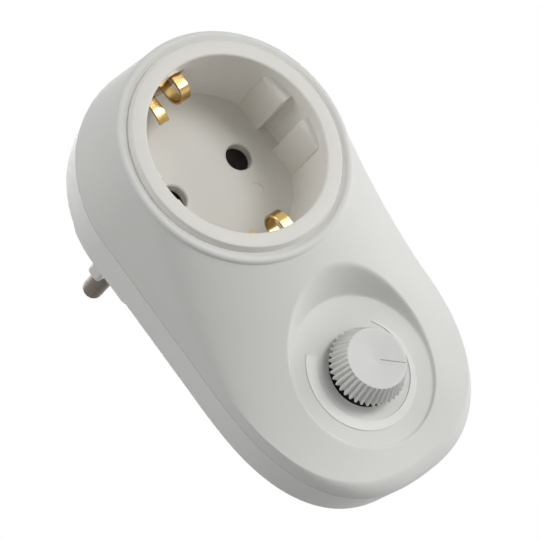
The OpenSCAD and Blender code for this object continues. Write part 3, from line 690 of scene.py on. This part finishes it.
def knob():
    """A tapering knob: ridges that deepen to its foot, a raised rim, a shallow cone and a pointer groove."""
    per_flute, rows, cone_rows = 16, 14, 26
    turn = np.linspace(0, 2 * np.pi, FLUTES * per_flute, endpoint=False)
    ridge = (0.5 + 0.5 * np.cos(turn * FLUTES)) ** 0.7
    edge, rim_r, rim_w, rim_step, dip = 0.3, 5.9, 0.2, 0.03, 0.75
    hub_r, hub_low, bore_top, skirt_r = 4.6, KNOB_BASE_Z - 1.1, KNOB_BASE_Z + 2.6, KNOB_BASE_R - 1.5
    rings = [(SHAFT_R, bore_top, 0), (SHAFT_R, hub_low, 0), (hub_r, hub_low, 0), (hub_r, bore_top, 0),
             (skirt_r, bore_top, 0), (skirt_r, KNOB_BASE_Z, 0)]
    for f in np.linspace(0, 1, rows):
        r = KNOB_BASE_R + (KNOB_TOP_R - KNOB_BASE_R) * f
        z = KNOB_BASE_Z + (KNOB_TOP_Z - edge - KNOB_BASE_Z) * f
        rings.append((r, z, FLUTE_FOOT + (FLUTE_TOP - FLUTE_FOOT) * f))
    for a in np.radians([25, 50, 75, 90]):
        r, z = KNOB_TOP_R - edge * (1 - math.cos(a)), KNOB_TOP_Z - edge * (1 - math.sin(a))
        rings.append((r, z, FLUTE_TOP * math.cos(a) ** 2))
    rings += [(rim_r + rim_w, KNOB_TOP_Z, 0), (rim_r, KNOB_TOP_Z - rim_step, 0)]
    rings += [(rim_r * f, KNOB_TOP_Z - dip * (1 - f) - rim_step, 0)
              for f in np.linspace(0.97, 0.03, cone_rows)]
    slices = []
    for r, z, depth in rings:
        rr = r - depth * (1 - ridge)
        slices.append(np.c_[rr * np.sin(turn), rr * np.cos(turn), np.full_like(turn, z)])
    slices = np.array(slices)
    top = slices[-(cone_rows + 2):]
    groove_start, groove_end, groove_w, groove_side, groove_depth = 0.9, 6.6, 0.22, 0.1, 0.25
    inside = (top[..., 1] > groove_start) & (top[..., 1] < groove_end)
    groove = np.clip((groove_w - np.abs(top[..., 0])) / groove_side, 0, 1) * inside
    top[..., 2] -= groove_depth * groove * groove * (3 - 2 * groove)
    return moved(turned_over(stack(slices)), turn=(0, 0, -POINTER), shift=(0, KNOB_Y, 0))


piece("knob_cap", knob(), KNOB, body="dial", nodes=["knob"], sharp=50)


# The CAD nodes that stay get their slot's finish, and the socket's contacts are tarnished

slots = {s["node"]: s["material_slot"] for s in frame["record"]["subparts"]}
for name, node in frame["nodes"].items():
    node.data.materials.clear()
    node.data.materials.append(TARNISHED if name.startswith("socket_contact") else FINISHES[slots[name]])


# Floor, light and camera

def seen_strength(tree, unseen, seen):
    """One strength for the camera and mirrors and another for the rest of the light."""
    path = tree.nodes.new("ShaderNodeLightPath")
    share = path.outputs["Is Camera Ray"]
    for other in ("Is Glossy Ray", "Is Transmission Ray"):
        either = tree.nodes.new("ShaderNodeMath")
        either.operation = "MAXIMUM"
        tree.links.new(share, either.inputs[0])
        tree.links.new(path.outputs[other], either.inputs[1])
        share = either.outputs[0]
    level = tree.nodes.new("ShaderNodeMapRange")
    level.inputs["To Min"].default_value = unseen
    level.inputs["To Max"].default_value = seen
    tree.links.new(share, level.inputs["Value"])
    return level.outputs["Result"]


def floor_material():
    """A pale matt sheet that the camera and mirrors see paler still."""
    n = Nodes("pale_floor")
    n.link(n.tint(n.noise(8, 2), (0.86, 0.86, 0.86), (0.88, 0.88, 0.88)), n.shader.inputs["Base Color"])
    n.shader.inputs["Roughness"].default_value = 0.8
    n.shader.inputs["Emission Color"].default_value = (1, 1, 1, 1)
    n.link(seen_strength(n.tree, 0.0, 0.35), n.shader.inputs["Emission Strength"])
    return n.material


def floor_sheet():
    """A square sheet below the part, in metres."""
    half, low = 1.2, -0.5
    corners = [(-half, -half, low), (half, -half, low), (half, half, low), (-half, half, low)]
    mesh = bpy.data.meshes.new("floor")
    mesh.from_pydata(corners, [], [(0, 1, 2, 3)])
    mesh.materials.append(floor_material())
    sheet = bpy.data.objects.new("floor", mesh)
    bpy.context.scene.collection.objects.link(sheet)
    return sheet


floor = floor_sheet()

# The part's middle, the lamps' distance from it, and the camera's axes, place and lens
CENTRE, LAMP_DISTANCE = Vector((0.0, -0.03, -0.025)), 0.8
RIGHT = Vector((0.70373, -0.38289, -0.59847))
UP = Vector((0.47074, -0.37964, 0.79642))
FORWARD = Vector((0.53214, 0.84218, 0.08692))
CAMERA_PLACE = Vector((-0.36513, -0.60760, -0.08279))
SENSOR_W, LENS = 36.0, 220.8


def area_light(name, direction, size, power):
    """A square white lamp that looks at the part from a direction."""
    data = bpy.data.lights.new(name, "AREA")
    data.energy, data.size = power, size
    lamp = bpy.data.objects.new(name, data)
    towards = Vector(direction).normalized()
    lamp.location = CENTRE + towards * LAMP_DISTANCE
    lamp.rotation_mode = "QUATERNION"
    lamp.rotation_quaternion = (-towards).to_track_quat("-Z", "Y")
    bpy.context.scene.collection.objects.link(lamp)


area_light("key", (0.5, -0.85, -0.05), 0.3, 2.25)
area_light("upper_left", (-0.6, -0.3, 0.75), 0.5, 2.75)
area_light("lower_right", (0.9, -0.3, -0.3), 0.5, 1.9)
area_light("front", (0.2, -0.9, 0.35), 0.3, 0.3)
area_light("rear_left", (-0.7, 0.6, 0.3), 0.5, 0.1)
area_light("rear_right", (0.25, 0.95, 0.2), 0.5, 1.8)


def white_world(ambient):
    """A white backdrop for the camera and mirrors, and a plain ambient light for the rest."""
    world = bpy.data.worlds.new("studio")
    bpy.context.scene.world = world
    world.use_nodes = True
    tree = world.node_tree
    back = tree.nodes["Background"]
    back.inputs["Color"].default_value = (1, 1, 1, 1)
    tree.links.new(seen_strength(tree, ambient, 1.0), back.inputs["Strength"])


white_world(0.135)

camera_data = bpy.data.cameras.new("photo_camera")
camera = bpy.data.objects.new("photo_camera", camera_data)
bpy.context.scene.collection.objects.link(camera)
basis = Matrix((RIGHT, UP, -FORWARD)).transposed().to_4x4()
camera.matrix_world = Matrix.Translation(CAMERA_PLACE) @ basis
camera_data.sensor_width = SENSOR_W
camera_data.lens = LENS
camera_data.clip_start, camera_data.clip_end = 0.05, 20
bpy.context.scene.camera = camera
bpy.context.scene.view_settings.view_transform = "Standard"
